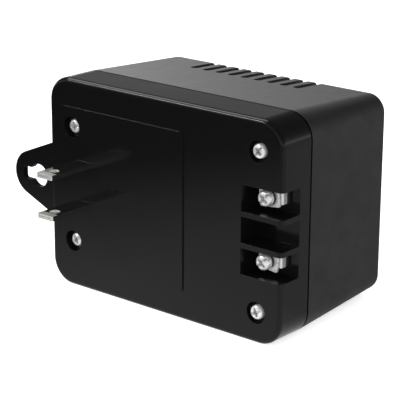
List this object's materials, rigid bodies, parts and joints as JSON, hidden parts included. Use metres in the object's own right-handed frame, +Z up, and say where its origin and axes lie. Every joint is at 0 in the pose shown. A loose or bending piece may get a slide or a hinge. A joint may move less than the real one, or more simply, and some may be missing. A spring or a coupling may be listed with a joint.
{
  "type": "low voltage transformer",
  "caption": "Plug-in low voltage transformer in a vented black case, with flat mains blades, a keyhole mounting tab and screw output terminals in corner bays.",
  "frame": {"origin": "midway between the two blades, on the face of the raised pad that touches the wall", "axes": "+Z up as the object stands on its long side, -Y out of the wall face along the blades, +X from the mounting tab towards the output terminals"},
  "size_m": [0.1067, 0.0709, 0.0666],
  "materials": {
    "black_abs_satin": "satin moulded",
    "black_abs_textured": "fine spark texture",
    "zinc_plated_steel": "bright zinc plate",
    "nickel_plated_brass": "bright nickel plate",
    "phenolic_board": "smooth",
    "silicon_steel": "varnished laminations",
    "natural_nylon": "moulded",
    "enamelled_copper": "enamelled wire",
    "polyester_tape": "glossy tape",
    "tinned_wire": "tinned",
    "fish_paper": "matt pressboard",
    "pvc_insulation": "extruded"
  },
  "bodies": {
    "root": {"front_shell": "black_abs_satin", "rear_shell": "black_abs_textured", "case_screw_upper_left": "zinc_plated_steel", "case_screw_lower_left": "zinc_plated_steel", "case_screw_upper_right": "zinc_plated_steel", "case_screw_lower_right": "zinc_plated_steel", "blade_upper": "nickel_plated_brass", "blade_lower": "nickel_plated_brass", "blade_retainer": "phenolic_board", "terminal_plate_upper": "nickel_plated_brass", "terminal_plate_lower": "nickel_plated_brass", "clamp_washer_upper": "zinc_plated_steel", "clamp_washer_lower": "zinc_plated_steel", "terminal_screw_upper": "zinc_plated_steel", "terminal_screw_lower": "zinc_plated_steel", "core_e_stack": "silicon_steel", "core_i_stack": "silicon_steel", "bobbin": "natural_nylon", "primary_winding": "enamelled_copper", "winding_insulation": "polyester_tape", "secondary_winding": "enamelled_copper", "outer_tape": "polyester_tape", "bobbin_pins": "tinned_wire", "insulation_card": "fish_paper", "thermal_fuse": "tinned_wire", "primary_lead": "pvc_insulation", "secondary_lead_upper": "pvc_insulation", "secondary_lead_lower": "pvc_insulation"}
  },
  "joints": []
}
